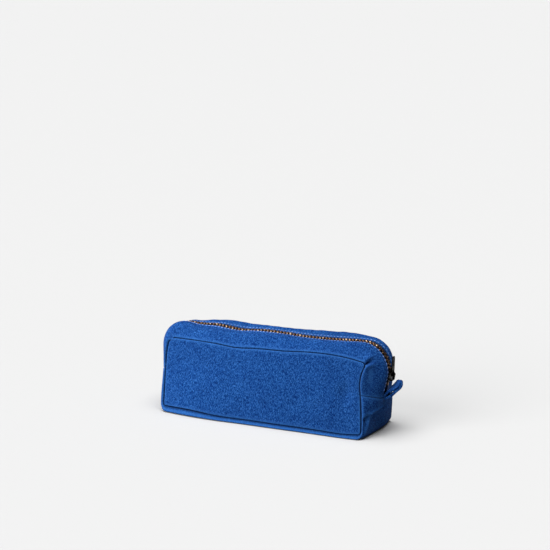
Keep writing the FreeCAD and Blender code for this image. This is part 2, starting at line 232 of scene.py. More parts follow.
def panel_surface(a, b, side):
    """A panel with its crown, its slack and a few soft dents."""
    p = panel_point(a, b, side)
    crown = 2.6 * np.sin(np.pi * np.clip(a, 0, 1)) ** 0.6 * np.sin(np.pi * np.clip(b, 0, 1)) ** 0.75
    hold = np.clip(np.minimum.reduce([a, 1 - a]) * 9, 0, 1) * np.clip(np.minimum(b, 1 - b) * 4, 0, 1)
    seed = 11 if side < 0 else 23
    slack = 0.55 * waves(p[..., 0], p[..., 2], seed, 62) + 0.16 * waves(p[..., 0], p[..., 2], seed + 1, 19)
    if side < 0:
        slack = slack - 3.6 * bump(p[..., 0], 83, 7) * bump(p[..., 2], 39, 9)
        slack = slack + 1.6 * bump(p[..., 0], 92, 4.5) * bump(p[..., 2], 44, 12)
        slack = slack - 0.5 * bump(p[..., 0], 30, 7) * bump(p[..., 2], 34, 22)
    out = crown + slack * hold
    lean = math.atan2(PANEL_LEAN, PANEL_HEIGHT)
    p = p.copy()
    p[..., 1] += side * out * math.cos(lean)
    p[..., 2] += out * math.sin(lean)
    return p


# ------------------------------------------------------------ the zip gussets
END_LOW, END_HIGH = 32.5, 39.5       # end seam, at the zip and at the panel
TOP_HALF = 100.0
SPREAD = [(0, 0), (80, 83), (98, 96.5), (115, 104.5), (149, 129.5)]


def rim(s, side):
    """The panel's edge that faces a place on the zip, and its outward direction."""
    s = np.asarray(s, float)
    way = np.sign(s) + (s == 0)
    q = smooth(SPREAD, np.abs(s) * 149 / HALF_PATH)
    over = np.clip(q - TOP_HALF, 0, None) / (PANEL_HEIGHT - 3)
    a = 0.5 + way * np.minimum(q, TOP_HALF) / (2 * TOP_HALF)
    point = panel_point(a, 1 - over, side)
    turn = np.clip((q - 92) / 16, 0, 1)
    turn = turn * turn * (3 - 2 * turn) * math.pi / 2
    zero = np.zeros_like(s)
    return point, np.stack([way * np.sin(turn), zero, np.cos(turn)], -1), turn


def bezier(p0, p1, p2, p3, w):
    w = w[..., None]
    return (1 - w) ** 3 * p0 + 3 * (1 - w) ** 2 * w * p1 + 3 * (1 - w) * w**2 * p2 + w**3 * p3


def gusset_surface(s, w, side):
    """A zip gusset: s runs along the zip, w from the panel's seam (0) to the zip (1)."""
    p0, out0, turn = rim(s, side)
    p3 = zip_line(s, side * smooth(SLOT[side], s), TOOTH_TOP + smooth(EDGE_RISE[side], s))
    x, z, ox, oz = path(s)
    out3 = np.stack([ox, 0 * ox, oz], -1)
    inward = np.array([0.0, -side, 0.0])
    steep = 0.62 - 0.42 * (turn / (math.pi / 2))
    reach0 = 6.8 + 0.9 * bump(np.abs(s), 112, 12) + 1.2 * waves(s, 0, 31 + side, 55)
    reach3 = 6.0 + 0.8 * waves(s, 0, 37 + side, 48)
    p1 = p0 + (out0 * np.cos(steep)[..., None] + inward * np.sin(steep)[..., None]) * reach0[..., None]
    p2 = p3 - (inward * 0.97 + out3 * 0.16) * reach3[..., None]
    p = bezier(p0, p1, p2, p3, w)
    at_crest = bezier(p0, p1, p2, p3, np.full_like(w, CREST_AT))
    short = smooth(CREST[side], s) - ((at_crest - np.stack([x, 0 * x, z], -1)) * out3).sum(-1)
    swell = np.sin(np.pi * np.clip(w, 0, 1) ** (math.log(0.5) / math.log(CREST_AT)))
    slack = 0.30 * waves(s, w * 26, 41 + side, 34) + 0.12 * waves(s, w * 26, 43 + side, 12)
    hold = np.clip(np.minimum(w, 1 - w) * 5, 0, 1)
    p = p + out3 * (short * swell**1.3 + slack * hold)[..., None]
    return p + pucker(s, w, out0, side)


CORNER_SEAM = 105.0         # the place on the zip that faces a panel's top corner


def pucker(s, w, out, side):
    """Gathers at a panel's top corners, and the roll of cloth beside its upright seams.

    out is the panel edge's outward direction; the cloth moves along it and away from the panel.
    """
    away = np.array([0.0, side, 0.0])
    total = np.zeros(out.shape)
    for way, deep in ((1, 1.0), (-1, 0.55)):
        if side > 0:
            deep *= 0.8
        from_corner = s * way - CORNER_SEAM - 10 * w
        near = np.exp(-((w - 0.16) / 0.17) ** 2)
        valley = -4.2 * bump(from_corner, 0, 2.3) * near
        ridges = 1.8 * bump(from_corner, -5.6, 3.2) * np.exp(-((w - 0.26) / 0.2) ** 2)
        ridges = ridges + 1.7 * bump(from_corner, 5.8, 3.2) * near
        amount = deep * (valley + ridges)
        beside = w * 24 / 2.2
        roll = 2.7 * deep * np.clip((s * way - 106) / 8, 0, 1) * np.clip((150 - s * way) / 14, 0.3, 1)
        forward = roll * beside * np.exp(1 - beside)
        total += amount[..., None] * (0.8 * out + 0.6 * away) + forward[..., None] * away
    return total


def roll_highlight(p):
    """Painted highlight on the roll of cloth beside the right upright seams, where its ridge would catch the
    light.
    """
    return 1.6 * bump(p[..., 0], 103.2, 1.5) * bump(p[..., 2], 57, 7)


# ------------------------------------------------------------ the bottom gusset
BASE_HALF = 100.0
BASE_Z = 0.25
BASE_ROLL, END_ROLL, ROLL_AT = 4.2, 1.6, 2.9
END_FULL_LOW = {-1: 5.4, 1: 2.8}
END_FULL_HIGH = 10.6


def end_seam(v, way):
    """Where the lower end cloth meets the two zip strips and the zip, from front to back."""
    y = (2 * v - 1) * BASE_HALF_DEPTH
    half_slot = float(smooth(SLOT[-1], HALF_PATH))
    share = np.clip((BASE_HALF_DEPTH - np.abs(y)) / (BASE_HALF_DEPTH - half_slot), 0, 1)
    s = way * np.full(np.shape(v), HALF_PATH)
    front, back = gusset_surface(s, share, -1), gusset_surface(s, share, 1)
    over_zip = np.clip(0.5 + y / (2 * half_slot), 0, 1)[..., None]
    middle = front + (back - front) * over_zip
    side = np.where((y < 0)[..., None], front, back)
    return np.where((share < 1)[..., None], side, middle)


def bottom_form(q, v):
    """The lower cloth without its wrinkles, before it is drawn up to the end seams."""
    way = np.where(q < 0, -1.0, 1.0)
    d = np.abs(q)
    share_up = np.clip(d - BASE_HALF, 0, None) / END_HIGH
    turn = np.clip((d - BASE_HALF + 3.5) / 7.0, 0, 1)
    turn = turn * turn * (3 - 2 * turn)
    a = 0.5 + way * np.minimum(d, BASE_HALF) / (2 * BASE_HALF)
    b = share_up * (END_HIGH - 4) / (PANEL_HEIGHT - 3)
    front, back = panel_point(a, b, -1), panel_point(a, b, 1)
    chord = front + (back - front) * (0.65 * v + 0.35 * (3 * v**2 - 2 * v**3))[..., None]
    wide = np.clip(np.abs(2 * v - 1), 0, 1)
    flat = (1 - wide**14) ** 0.45
    full = (1 - wide**2.2) ** (0.44 + 0.16 * share_up)
    base_z = chord[..., 2] + (BASE_Z - chord[..., 2]) * flat
    low = np.where(way < 0, END_FULL_LOW[-1], END_FULL_LOW[1])
    end_x = chord[..., 0] + way * (low + (END_FULL_HIGH - low) * share_up**0.8) * full
    middle_z = BASE_Z + (END_LOW - BASE_Z) * share_up
    end_z = chord[..., 2] + (middle_z - chord[..., 2]) * full
    out = chord.copy()
    out[..., 0] += (end_x - chord[..., 0]) * turn
    out[..., 2] = np.maximum(base_z + (end_z - base_z) * turn, BASE_Z)
    roll = BASE_ROLL + (END_ROLL - BASE_ROLL) * turn
    from_front = v * 2 * BASE_HALF_DEPTH / ROLL_AT
    from_back = (1 - v) * 2 * BASE_HALF_DEPTH / ROLL_AT
    out[..., 1] += roll * (from_back * np.exp(1 - from_back) - from_front * np.exp(1 - from_front))
    return out, way, share_up, turn


def bottom_surface(q, v):
    """q runs along the base and up both ends, v from the front (0) to the back (1)."""
    q, v = np.broadcast_arrays(q, v)
    out, way, share_up, turn = bottom_form(q, v)
    top = bottom_form(way * (BASE_HALF + END_HIGH), v)[0]
    out += (end_seam(v, way) - top) * (share_up**1.6)[..., None]
    hold = np.clip(np.minimum(v, 1 - v) * 2 * BASE_HALF_DEPTH / 5, 0, 1) * np.clip((1 - share_up) * 5, 0, 1)
    slack = 0.5 * waves(q, v * 60, 51, 30)
    crease = np.where(way > 0, end_creases(out), 0.5 * end_creases(out * np.array([-1, -1, 1])))
    out[..., 0] += way * (slack + crease) * hold * turn
    return out


def crease_lines(p):
    """Ridge and hollow of the two fold lines across the lower end."""
    y, z = p[..., 1], p[..., 2]
    ridge, hollow = np.zeros_like(y), np.zeros_like(y)
    for (y0, z0), (y1, z1) in (((-32, 20.5), (8, 28)), ((-20, 22), (-29, 5))):
        length = math.hypot(y1 - y0, z1 - z0)
        ty, tz = (y1 - y0) / length, (z1 - z0) / length
        along = (y - y0) * ty + (z - z0) * tz
        cross = (z - z0) * ty - (y - y0) * tz
        inside = np.clip(along / 4 + 0.5, 0, 1) * np.clip((length - along) / 9 + 0.5, 0, 1)
        ridge = ridge + inside * np.exp(-np.abs(cross) / 0.9)
        hollow = hollow + inside * bump(cross, -3.2, 2.2)
    return ridge, hollow


def end_creases(p):
    """The fold lines, and the flatter field beside them."""
    ridge, hollow = crease_lines(p)
    return 1.9 * ridge - 1.2 * hollow - 2.2 * bump(p[..., 1], -8, 12) * bump(p[..., 2], 12, 8)


def crease_highlight(p):
    """Painted highlight along the ridges of the right end's fold lines."""
    return 1.8 * crease_lines(p)[0] * (p[..., 0] > BASE_HALF)


# ------------------------------------------------------------ mesh making
def inward_at(p):
    """Direction into the case, in which both cloths of a seam turn."""
    aim = np.stack([np.clip(p[..., 0], -84, 84), np.clip(p[..., 1], -8, 8),
                    np.clip(p[..., 2], 22, 52)], -1)
    d = aim - p
    return d / np.linalg.norm(d, axis=-1, keepdims=True)


def mesh_object(name, verts, faces, values=None, uvs=None):
    mesh = bpy.data.meshes.new(name)
    mesh.from_pydata([tuple(v) for v in np.asarray(verts, float) * MM], [], faces)
    mesh.update()
    for key, data in (values or {}).items():
        layer = mesh.attributes.new(key, "FLOAT", "POINT")
        layer.data.foreach_set("value", np.asarray(data, np.float32))
    if uvs is not None:
        layer = mesh.uv_layers.new(name="cloth")
        index = np.empty(len(mesh.loops), np.int32)
        mesh.loops.foreach_get("vertex_index", index)
        layer.data.foreach_set("uv", np.asarray(uvs, np.float32)[index].ravel())
    piece = bpy.data.objects.new(name, mesh)
    bpy.context.scene.collection.objects.link(piece)
    for polygon in mesh.polygons:
        polygon.use_smooth = True
    return piece


def cloth_piece(name, surface, long, wide, flip=False, painted_highlight=None, end_lip=LIP, end_gap=SEAM_GAP):
    """A canvas piece over surface(u, v), whose four edges turn into their seams.

    long and wide are its sizes in mm, for the mesh and for the cloth coordinates.
    """
    eu, ev = end_lip / long, LIP / wide
    nu, nv = max(int(long / CELL), 8), max(int(wide / CELL), 8)
    u = np.linspace(eu, 1 - eu, nu)
    v = np.linspace(ev, 1 - ev, nv)
    gu, gv = np.meshgrid(u, v, indexing="ij")
    points = surface(gu, gv)
    verts = [points.reshape(-1, 3)]
    run = np.cumsum(np.linalg.norm(np.diff(points, axis=1), axis=2), axis=1)
    run = np.concatenate([np.zeros((nu, 1)), run], axis=1)
    run -= run[:, nv // 2][:, None]
    uvs = [np.stack([gu * long, run], -1).reshape(-1, 2)]
    near = np.minimum.reduce([gu * long, (1 - gu) * long, gv * wide, (1 - gv) * wide])
    lips = [np.clip(1 - (near - LIP) / 2.0, 0, 1).ravel()]
    # A painted highlight, where given, lightens the cloth like a pale lip.
    if painted_highlight:
        lips[0] = np.maximum(lips[0], np.clip(painted_highlight(points), 0, 1).ravel())
    deep = [np.zeros(nu * nv)]
    faces = []
    for i in range(nu - 1):
        for j in range(nv - 1):
            q = i * nv + j
            quad = (q, q + nv, q + nv + 1, q + 1)
            faces.append(quad[::-1] if flip else quad)
    loop = [i * nv for i in range(nu)] + [(nu - 1) * nv + j for j in range(1, nv)]
    loop += [i * nv + nv - 1 for i in range(nu - 2, -1, -1)] + [j for j in range(nv - 2, 0, -1)]
    start, start_uv = points.reshape(-1, 3)[loop], uvs[0][loop]
    bu, bv = gu.ravel()[loop], gv.ravel()[loop]
    pu = np.where(bu <= eu * 1.001, 0, np.where(bu >= 1 - eu * 1.001, 1, bu))
    pv = np.where(bv <= ev * 1.001, 0, np.where(bv >= 1 - ev * 1.001, 1, bv))
    seam = surface(pu, pv)
    outward = np.stack([(pu - bu) * long, (pv - bv) * wide], -1)
    outward *= (np.linalg.norm(seam - start, axis=1) / np.linalg.norm(outward, axis=1))[:, None]
    at_end = pu != bu
    seam = seam + (start - seam) * np.where(at_end, end_gap, SEAM_GAP)[:, None]
    ends = seam + inward_at(seam) * LIP_DEEP
    stitches = 1 + 0.10 * np.sin((pu * long + pv * wide) * 2 * math.pi / 3.2)
    previous = loop
    count = nu * nv
    # deep is painted shade, darker as the cloth turns into its seam's groove; lip falls away as it does.
    for t, dark in ((0.25, 0.05), (0.5, 0.5), (0.75, 0.9), (1.0, 1.0)):
        bend = start + (seam - start) * stitches[:, None]
        row = (1 - t) ** 2 * start + 2 * t * (1 - t) * bend + t * t * ends
        verts.append(row)
        lips.append(np.full(len(loop), 1.0 - dark))
        deep.append(np.full(len(loop), dark))
        uvs.append(start_uv + t * outward)
        new = list(range(count, count + len(loop)))
        faces += ring_faces(previous, new, flip)
        previous, count = new, count + len(loop)
    verts.append(ends + inward_at(ends) * ALLOWANCE)
    lips.append(np.zeros(len(loop)))
    deep.append(np.ones(len(loop)))
    uvs.append(uvs[-1])
    faces += ring_faces(previous, list(range(count, count + len(loop))), flip)
    values = {"lip": np.concatenate(lips), "deep": np.concatenate(deep)}
    piece = mesh_object(name, np.concatenate(verts), faces, values, np.concatenate(uvs))
    thick = piece.modifiers.new("thickness", "SOLIDIFY")
    thick.thickness = CANVAS * MM
    thick.offset = -1
    return piece


def ring_faces(inner, outer, flip):
    n = len(inner)
    faces = []
    for k in range(n):
        m = (k + 1) % n
        quad = (inner[k], outer[k], outer[m], inner[m])
        faces.append(quad[::-1] if flip else quad)
    return faces


def apply_modifiers(piece):
    graph = bpy.context.evaluated_depsgraph_get()
    done = bpy.data.meshes.new_from_object(piece.evaluated_get(graph))
    piece.modifiers.clear()
    piece.data = done


def sweep(line, normals, section, closed_ends=True):
    """A solid along a line in the XZ plane: section is (across Y, along the normal) pairs."""
    n, m = len(line), len(section)
    verts = np.empty((n, m, 3))
    for k, (y, r) in enumerate(section):
        verts[:, k] = line + normals * r
        verts[:, k, 1] += y
    faces = []
    for i in range(n - 1):
        for k in range(m):
            j = (k + 1) % m
            faces.append((i * m + k, i * m + j, (i + 1) * m + j, (i + 1) * m + k))
    if closed_ends:
        faces.append(tuple(range(m))[::-1])
        faces.append(tuple((n - 1) * m + k for k in range(m)))
    return verts.reshape(-1, 3), faces


def copies(verts, faces, places):
    """Many copies of one little mesh, each put in place by a function of its vertices."""
    all_verts, all_faces = [], []
    for n, place in enumerate(places):
        all_verts.append(place(verts))
        all_faces += [tuple(k + n * len(verts) for k in face) for face in faces]
    return np.concatenate(all_verts), all_faces


def at_zip(s, side=1):
    """A function that puts points (along, across, outward) at a place on the zip."""
    x, z, ox, oz = (float(v) for v in path(s))
    sag = float(smooth(SAG, s))
    slope = math.atan(float(smooth(SAG, s + 0.5) - smooth(SAG, s - 0.5)))
    c, d = math.cos(slope), math.sin(slope)

    def place(p):
        along = p[:, 0] * c - p[:, 2] * d
        out = p[:, 0] * d + p[:, 2] * c + sag
        return np.stack([x + along * oz + out * ox, p[:, 1] * side, z - along * ox + out * oz], -1)
    return place


# ------------------------------------------------------------ materials
def nodes_of(name):
    material = bpy.data.materials.new(name)
    material.use_nodes = True
    tree = material.node_tree
    return material, tree, tree.nodes["Principled BSDF"]


def ramp(tree, factor, stops):
    node = tree.nodes.new("ShaderNodeValToRGB")
    while len(node.color_ramp.elements) < len(stops):
        node.color_ramp.elements.new(0.5)
    for element, (at, colour) in zip(node.color_ramp.elements, stops):
        element.position = at
        element.color = (*colour, 1)
    tree.links.new(factor, node.inputs["Fac"])
    return node.outputs["Color"]


def mix(tree, factor, a, b, blend="MIX"):
    node = tree.nodes.new("ShaderNodeMix")
    node.data_type = "RGBA"
    node.blend_type = blend
    for value, socket in ((factor, node.inputs["Factor"]), (a, node.inputs[6]), (b, node.inputs[7])):
        if hasattr(value, "is_output"):
            tree.links.new(value, socket)
        else:
            socket.default_value = value if isinstance(value, float) else (*value, 1)
    return node.outputs[2]


def math_node(tree, operation, a, b=0.0, clamp=False):
    node = tree.nodes.new("ShaderNodeMath")
    node.operation = operation
    node.use_clamp = clamp
    for value, socket in ((a, node.inputs[0]), (b, node.inputs[1])):
        if hasattr(value, "is_output"):
            tree.links.new(value, socket)
        else:
            socket.default_value = value
    return node.outputs[0]


def attribute(tree, name):
    node = tree.nodes.new("ShaderNodeAttribute")
    node.attribute_name = name
    return node.outputs["Fac"]


def cloth_coordinates(tree, scale):
    """The cloth's own coordinates, in mm times a scale."""
    uv = tree.nodes.new("ShaderNodeUVMap")
    uv.uv_map = "cloth"
    mapping = tree.nodes.new("ShaderNodeMapping")
    mapping.inputs["Scale"].default_value = scale
    tree.links.new(uv.outputs["UV"], mapping.inputs["Vector"])
    return mapping.outputs["Vector"]


def noise(tree, vector, scale, detail=3.0, rough=0.6):
    node = tree.nodes.new("ShaderNodeTexNoise")
    node.inputs["Scale"].default_value = scale
    node.inputs["Detail"].default_value = detail
    node.inputs["Roughness"].default_value = rough
    tree.links.new(vector, node.inputs["Vector"])
    return node.outputs["Fac"]


def threads(tree, vector, axis, pitch):
    """A wave across one thread direction, from 0 to 1."""
    part = tree.nodes.new("ShaderNodeSeparateXYZ")
    tree.links.new(vector, part.inputs[0])
    turns = math_node(tree, "MULTIPLY", part.outputs[axis], 2 * math.pi / pitch)
    wave = math_node(tree, "SINE", turns)
    return math_node(tree, "MULTIPLY_ADD", wave, 0.5)


def yarn_tones(tree, vector, axis, pitch, long):
    """Each yarn's own tone, which wanders along it."""
    part = tree.nodes.new("ShaderNodeSeparateXYZ")
    tree.links.new(vector, part.inputs[0])
    which = math_node(tree, "MULTIPLY", math_node(tree, "SNAP", part.outputs[axis], pitch), 7.3)
    join = tree.nodes.new("ShaderNodeCombineXYZ")
    tree.links.new(which, join.inputs[0])
    tree.links.new(math_node(tree, "DIVIDE", part.outputs[1 - axis], long), join.inputs[1])
    return noise(tree, join.outputs[0], 1.0, 2.0, 0.6)


def canvas_material(name, dark, light, pale, pitch=0.62):
    """Plain-weave canvas: uneven yarns, mottled dye, pale lips with painted highlights on some ridges,
    painted shade in the seams, its weave in relief.
    """
    material, tree, shader = nodes_of(name)
    links = tree.links
    cloth = cloth_coordinates(tree, (1, 1, 1))
    warp_tone = yarn_tones(tree, cloth, 0, pitch, 2.0)
    weft_tone = yarn_tones(tree, cloth, 1, pitch, 1.4)
    warp = threads(tree, cloth, 0, pitch)
    weft = threads(tree, cloth, 1, pitch)
    over = math_node(tree, "GREATER_THAN", math_node(tree, "MULTIPLY_ADD", warp, weft), 0.5)
    blotch = noise(tree, cloth_coordinates(tree, (1.0, 0.6, 1)), 2.0, 2.0, 0.6)
    clouds = noise(tree, cloth, 0.045, 3.0, 0.55)
    yarns = math_node(tree, "ADD", math_node(tree, "MULTIPLY", warp_tone, 0.68),
                      math_node(tree, "MULTIPLY", weft_tone, 0.32))
    tone = math_node(tree, "ADD", math_node(tree, "MULTIPLY", yarns, 0.68),
                     math_node(tree, "MULTIPLY", blotch, 0.32))
    tone = math_node(tree, "ADD", tone, math_node(tree, "MULTIPLY", over, 0.05))
    colour = ramp(tree, tone, [(0.41, dark), (0.525, light), (0.64, pale)])
    cloud_tone = ramp(tree, clouds, [(0.30, (0.84, 0.87, 0.90)), (0.70, (1.14, 1.10, 1.06))])
    colour = mix(tree, 1.0, colour, cloud_tone, "MULTIPLY")
    # Pale lips, and painted highlights on the roll beside the right seams and on the end's fold lines.
    pale_lips_and_highlights = math_node(tree, "MULTIPLY", attribute(tree, "lip"),
                     math_node(tree, "MULTIPLY", blotch, 1.15), clamp=True)
    colour = mix(tree, pale_lips_and_highlights, colour, pale)
    # Painted shade: darker as the cloth turns into a seam's groove.
    colour = mix(tree, math_node(tree, "MULTIPLY", attribute(tree, "deep"), 0.95), colour,
                 tuple(0.3 * c for c in dark))
    links.new(colour, shader.inputs["Base Color"])
    rough = math_node(tree, "MULTIPLY_ADD", blotch, 0.14)
    rough.node.inputs[2].default_value = 0.80
    links.new(rough, shader.inputs["Roughness"])
    shader.inputs["Specular IOR Level"].default_value = 0.02
    shader.inputs["Sheen Weight"].default_value = 0.03
    shader.inputs["Sheen Roughness"].default_value = 0.4
    shader.inputs["Sheen Tint"].default_value = (0.62, 0.75, 0.85, 1)
    height = math_node(tree, "ADD", math_node(tree, "MULTIPLY", warp, weft),
                       math_node(tree, "MULTIPLY", yarns, 2.0))
    relief = tree.nodes.new("ShaderNodeBump")
    relief.inputs["Strength"].default_value = 0.6
    relief.inputs["Distance"].default_value = 0.00022
    links.new(height, relief.inputs["Height"])
    links.new(relief.outputs["Normal"], shader.inputs["Normal"])
    return material


def object_coordinates(tree, scale=(1, 1, 1)):
    """Object coordinates in mm, times a scale."""
    source = tree.nodes.new("ShaderNodeTexCoord")
    mapping = tree.nodes.new("ShaderNodeMapping")
    mapping.inputs["Scale"].default_value = tuple(1000 * s for s in scale)
    tree.links.new(source.outputs["Object"], mapping.inputs["Vector"])
    return mapping.outputs["Vector"]


def metal_material(name, tones, rough, relief_mm=0.02, grain=0.9):
    """Plated metal that has darkened unevenly, with rubbed high spots."""
    material, tree, shader = nodes_of(name)
    where = object_coordinates(tree)
    patches = noise(tree, where, grain * 0.35, 3.0, 0.6)
    specks = noise(tree, where, grain * 2.2, 2.0, 0.6)
    colour = ramp(tree, patches, tones)
    colour = mix(tree, math_node(tree, "MULTIPLY", specks, 0.35), colour, tones[0][1])
    tree.links.new(colour, shader.inputs["Base Color"])
    shader.inputs["Metallic"].default_value = 1.0
    roughness = math_node(tree, "MULTIPLY_ADD", specks, 0.22)
    roughness.node.inputs[2].default_value = rough
    tree.links.new(roughness, shader.inputs["Roughness"])
    bump_node = tree.nodes.new("ShaderNodeBump")
    bump_node.inputs["Strength"].default_value = 0.4
    bump_node.inputs["Distance"].default_value = relief_mm * MM
    tree.links.new(specks, bump_node.inputs["Height"])
    tree.links.new(bump_node.outputs["Normal"], shader.inputs["Normal"])
    return material


def woven_material(name, dark, light, pitch):
    """Narrow woven tape or thread, in object coordinates."""
    material, tree, shader = nodes_of(name)
    where = object_coordinates(tree)
    ribs = threads(tree, where, 0, pitch)
    rows = threads(tree, where, 1, pitch)
    weave = math_node(tree, "MULTIPLY", ribs, rows)
    blotch = noise(tree, where, 0.6)
    tone = math_node(tree, "ADD", math_node(tree, "MULTIPLY", weave, 0.4),
                     math_node(tree, "MULTIPLY", blotch, 0.6))
    tree.links.new(ramp(tree, tone, [(0.2, dark), (0.8, light)]), shader.inputs["Base Color"])
    rough = math_node(tree, "MULTIPLY_ADD", blotch, 0.15)
    rough.node.inputs[2].default_value = 0.78
    tree.links.new(rough, shader.inputs["Roughness"])
    shader.inputs["Specular IOR Level"].default_value = 0.25
    relief = tree.nodes.new("ShaderNodeBump")
    relief.inputs["Strength"].default_value = 0.5
    relief.inputs["Distance"].default_value = 0.0001
    tree.links.new(weave, relief.inputs["Height"])
    tree.links.new(relief.outputs["Normal"], shader.inputs["Normal"])
    return material


CANVAS_TONES = ((0.0003, 0.0060, 0.039), (0.0015, 0.0180, 0.093), (0.0145, 0.068, 0.217))
BRASS_TONES = [(0.30, (0.030, 0.017, 0.011)), (0.50, (0.130, 0.064, 0.036)), (0.66, (0.46, 0.34, 0.23))]
SLIDER_TONES = [(0.30, (0.002, 0.002, 0.002)), (0.54, (0.006, 0.0055, 0.005)), (0.80, (0.040, 0.036, 0.032))]
STEEL_TONES = [(0.3, (0.20, 0.19, 0.18)), (0.7, (0.42, 0.41, 0.40))]
MATERIALS = {
    "canvas": canvas_material("canvas_blue", *CANVAS_TONES),
    "tape": woven_material("zip_tape_navy", (0.002, 0.004, 0.015), (0.006, 0.014, 0.050), 0.5),
    "thread": woven_material("stitch_thread", (0.06, 0.13, 0.36), (0.19, 0.29, 0.58), 0.3),
    "binding": woven_material("binding_cotton", (0.006, 0.025, 0.11), (0.015, 0.05, 0.18), 0.6),
    "teeth": metal_material("antique_brass", BRASS_TONES, 0.28),
    "slider": metal_material("oxidised_slider", SLIDER_TONES, 0.34),
    "steel": metal_material("dull_spring_steel", STEEL_TONES, 0.35),
}


def finish_piece(piece, material, body, slot, nodes=()):
    piece.data.materials.clear()
    piece.data.materials.append(MATERIALS[material])
    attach(piece, body)
    if nodes:
        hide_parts(*nodes)


def make_panels():
    for side, name in ((-1, "front_panel"), (1, "back_panel")):
        piece = cloth_piece("canvas_" + name, lambda a, b, k=side: panel_surface(a, b, k),
                            2 * HALF_LENGTH, PANEL_HEIGHT - 3, flip=side > 0, end_lip=1.8,
                            end_gap=0.22)
        apply_modifiers(piece)
        finish_piece(piece, "canvas", "case", "canvas", [name])


def make_gussets():
    for side, name in ((-1, "zip_gusset_front"), (1, "zip_gusset_back")):
        def surface(u, w, k=side):
            return gusset_surface((2 * u - 1) * HALF_PATH, w, k)
        # The roll beside the right seams gets a painted highlight.
        piece = cloth_piece("canvas_" + name, surface, 2 * HALF_PATH, 24.0, flip=side > 0, painted_highlight=roll_highlight,
                            end_lip=0.7, end_gap=0.02)
        apply_modifiers(piece)
        finish_piece(piece, "canvas", "case", "canvas", [name])


def make_bottom():
    seam_at = BASE_HALF + END_HIGH
    # The fold lines across the right end get a painted highlight.
    piece = cloth_piece("canvas_bottom_gusset", lambda u, v: bottom_surface((2 * u - 1) * seam_at, v),
                        2 * seam_at, 2 * BASE_HALF_DEPTH, flip=True, painted_highlight=crease_highlight,
                        end_lip=0.7, end_gap=0.02)
    apply_modifiers(piece)
    finish_piece(piece, "canvas", "case", "canvas", ["bottom_gusset"])


# ------------------------------------------------------------ the zip
def make_tapes():
    """Each tape has a bead at the teeth, and runs on under its canvas strip."""
    s = np.linspace(-HALF_PATH, HALF_PATH, 320)
    half = TAPE_THICK / 2
    for side, name in ((-1, "zip_tape_front"), (1, "zip_tape_back")):
        rows = [zip_line(s, side * y, r) for y, r in ((2.3, half - 0.3), (2.4, half + 0.2),
                (2.8, half + 0.35), (3.2, half + 0.2), (3.6, half), (4.0, half - 0.1))]
        for w in (0.94, 0.86, 0.78):
            under = gusset_surface(s, np.full(len(s), w), side)
            rows.append(under + inward_at(under) * (CANVAS + 1.1))
        verts = np.stack(rows, 1)
        n, m = verts.shape[:2]
        faces = [(i * m + k, (i + 1) * m + k, (i + 1) * m + k + 1, i * m + k + 1)
                 for i in range(n - 1) for k in range(m - 1)]
        piece = mesh_object("woven_" + name, verts.reshape(-1, 3),
                            faces if side > 0 else [f[::-1] for f in faces])
        thick = piece.modifiers.new("thickness", "SOLIDIFY")
        thick.thickness = TAPE_THICK * MM
        thick.offset = -1
        apply_modifiers(piece)
        finish_piece(piece, "tape", "case", "zip_tape", [name])


def tooth_mesh():
    """One tooth: legs over the tape, a waist, and a rounded head past the centre line."""
    outline = [(-3.35, -1.15), (-3.35, 1.15), (-2.9, 1.62), (-1.6, 1.66), (-0.6, 1.50), (0.35, 1.66),
               (0.85, 1.2), (1.0, 0.5), (1.0, -0.5), (0.85, -1.2), (0.35, -1.66), (-2.9, -1.62)]
    rings = [(-0.66, 0.80), (-0.52, 0.97), (0.0, 1.0), (0.52, 0.97), (0.66, 0.80)]
    verts, m = [], len(outline)
    for x, scale in rings:
        verts += [(x, -1.1 + (y + 1.1) * scale, z * scale) for y, z in outline]
    faces = [(i * m + k, i * m + (k + 1) % m, (i + 1) * m + (k + 1) % m, (i + 1) * m + k)
             for i in range(len(rings) - 1) for k in range(m)]
    faces.append(tuple(range(m))[::-1])
    faces.append(tuple((len(rings) - 1) * m + k for k in range(m)))
    return np.array(verts, float), faces


TEETH_FROM_SEAM = 14.0      # first tooth, above the bottom stop
LAST_TOOTH_FROM_ARC_END = 1.0


def tooth_places():
    last = CORNER.x + ARC_LONG - LAST_TOOTH_FROM_ARC_END
    first = -(HALF_PATH - TEETH_FROM_SEAM)
    return [last - TOOTH_PITCH * n for n in range(int((last - first) / TOOTH_PITCH) + 1)]


def make_teeth():
    """The tooth is drawn for the front row; the back row is its mirror, half a pitch along."""
    verts, faces = tooth_mesh()
    for mirror, name, shift in ((1, "zip_teeth_front", 0.0), (-1, "zip_teeth_back", TOOTH_PITCH / 2)):
        places = [at_zip(s - shift, mirror) for s in tooth_places()]
        v, f = copies(verts, faces if mirror > 0 else [q[::-1] for q in faces], places)
        piece = mesh_object("brass_" + name, v, f)
        piece.data.shade_flat()
        finish_piece(piece, "teeth", "case", "zip_teeth", [name])


def stitch_mesh(long, radius):
    """A short thread lying on the cloth, its ends dipping into it."""
    verts, faces, rings, m = [], [], 7, 6
    for i in range(rings):
        t = i / (rings - 1)
        arch = math.sin(math.pi * t) ** 0.5
        for k in range(m):
            angle = 2 * math.pi * k / m
            verts.append(((t - 0.5) * long, radius * math.cos(angle),
                          radius * math.sin(angle) * 0.8 + radius * (1.2 * arch - 1.1)))
    for i in range(rings - 1):
        for k in range(m):
            j = (k + 1) % m
            faces.append((i * m + k, (i + 1) * m + k, (i + 1) * m + j, i * m + j))
    faces.append(tuple(range(m)))
    faces.append(tuple((rings - 1) * m + k for k in range(m))[::-1])
    return np.array(verts, float), faces


STITCH_PITCH = 3.3
STITCH_LONG = 2.3
STITCHES_FROM_SEAM = 6
# side, name, place between the panel (0) and the zip (1), thread radius
TOPSTITCHES = ((-1, "topstitch_front", 0.915, 0.36), (1, "topstitch_back", 0.93, 0.25))


